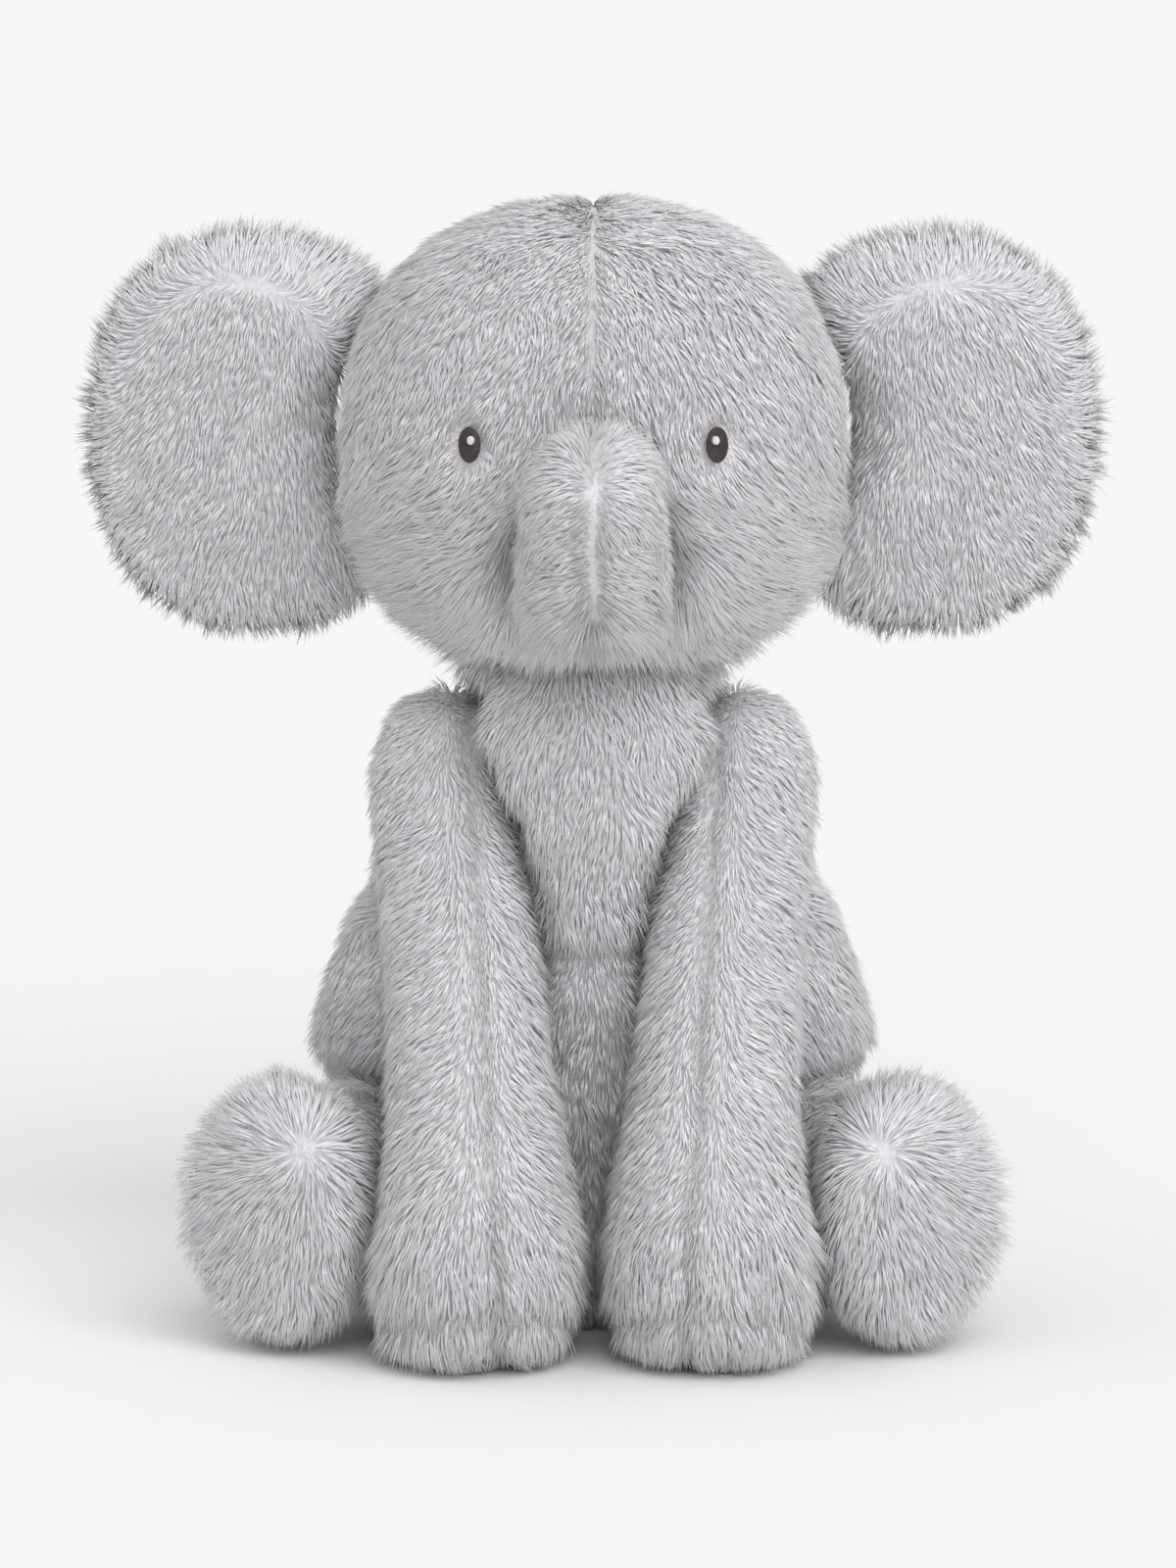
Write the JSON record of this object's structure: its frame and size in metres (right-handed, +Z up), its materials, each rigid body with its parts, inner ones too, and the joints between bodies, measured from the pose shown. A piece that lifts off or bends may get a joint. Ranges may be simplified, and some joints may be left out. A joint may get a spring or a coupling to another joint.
{
  "type": "plush elephant toy",
  "caption": "Sitting soft toy elephant in long-pile plush, with big round ears, a short raised trunk, embroidered eyes and jointed soft limbs.",
  "frame": {"origin": "on the floor under the middle of the toy's box", "axes": "+Z up, the toy faces -Y, its own left is +X"},
  "size_m": [0.2604, 0.1922, 0.292],
  "materials": {
    "plush": "long soft pile",
    "filling": "loose fibre",
    "pellet_cloth": "plain weave",
    "dark_thread": "satin stitch",
    "white_thread": "satin stitch",
    "grey_thread": "twisted thread",
    "satin": "woven ribbon"
  },
  "bodies": {
    "torso": {"belly_panel": "plush", "chest_panel": "plush", "back_panel_left": "plush", "back_panel_right": "plush", "seat_panel": "plush", "torso_filling": "filling", "pellet_bag": "pellet_cloth", "care_label": "satin", "shoulder_stitching_left": "grey_thread", "shoulder_stitching_right": "grey_thread", "hip_stitching_left": "grey_thread", "hip_stitching_right": "grey_thread"},
    "neck": {"neck_stitching": "grey_thread"},
    "head": {"head_panel_left": "plush", "head_panel_right": "plush", "head_filling": "filling", "eye_left": "dark_thread", "eye_right": "dark_thread", "eye_glint_left": "white_thread", "eye_glint_right": "white_thread", "trunk_stitching": "grey_thread"},
    "trunk": {"trunk_panel_left": "plush", "trunk_panel_right": "plush", "trunk_filling": "filling"},
    "tail": {"tail": "plush"},
    "ear_left": {"ear_front_left": "plush", "ear_back_left": "plush", "ear_wadding_left": "filling"},
    "front_leg_left": {"front_leg_outer_left": "plush", "front_leg_inner_left": "plush", "front_sole_left": "plush", "front_leg_filling_left": "filling"},
    "hind_leg_left": {"hind_leg_cover_left": "plush", "hind_sole_left": "plush", "hind_leg_filling_left": "filling"},
    "ear_right": {"ear_front_right": "plush", "ear_back_right": "plush", "ear_wadding_right": "filling"},
    "front_leg_right": {"front_leg_outer_right": "plush", "front_leg_inner_right": "plush", "front_sole_right": "plush", "front_leg_filling_right": "filling"},
    "hind_leg_right": {"hind_leg_cover_right": "plush", "hind_sole_right": "plush", "hind_leg_filling_right": "filling"}
  },
  "joints": [
    {"name": "neck_turn", "type": "hinge", "parent": "torso", "child": "neck", "pos_m": [0, 0.0109, 0.15], "axis": [0, 0, 1], "range_deg": [-35, 35]},
    {"name": "head_nod", "type": "hinge", "parent": "neck", "child": "head", "pos_m": [0, 0.0109, 0.15], "axis": [1, 0, 0], "range_deg": [-10, 12]},
    {"name": "trunk_lift", "type": "hinge", "parent": "head", "child": "trunk", "pos_m": [0, -0.0501, 0.203], "axis": [-1, 0, 0], "range_deg": [-14, 12]},
    {"name": "tail_lift", "type": "hinge", "parent": "torso", "child": "tail", "pos_m": [0, 0.0871, 0.052], "axis": [1, 0, 0], "range_deg": [0, 60]},
    {"name": "ear_left_fold", "type": "hinge", "parent": "head", "child": "ear_left", "pos_m": [0.062, 0.0189, 0.232], "axis": [0, 0, -1], "range_deg": [-20, 25]},
    {"name": "front_leg_left_swing", "type": "hinge", "parent": "torso", "child": "front_leg_left", "pos_m": [0.0385, 0.0059, 0.1485], "axis": [-0.9272, -0.3746, 0], "range_deg": [0, 50]},
    {"name": "hind_leg_left_lift", "type": "hinge", "parent": "torso", "child": "hind_leg_left", "pos_m": [0.054, 0.0119, 0.035], "axis": [-0.8572, -0.515, 0], "range_deg": [0, 25]},
    {"name": "ear_right_fold", "type": "hinge", "parent": "head", "child": "ear_right", "pos_m": [-0.062, 0.0189, 0.232], "axis": [0, 0, 1], "range_deg": [-20, 25]},
    {"name": "front_leg_right_swing", "type": "hinge", "parent": "torso", "child": "front_leg_right", "pos_m": [-0.0385, 0.0059, 0.1485], "axis": [-0.9272, 0.3746, 0], "range_deg": [0, 50]},
    {"name": "hind_leg_right_lift", "type": "hinge", "parent": "torso", "child": "hind_leg_right", "pos_m": [-0.054, 0.0119, 0.035], "axis": [-0.8572, 0.515, 0], "range_deg": [0, 25]}
  ]
}
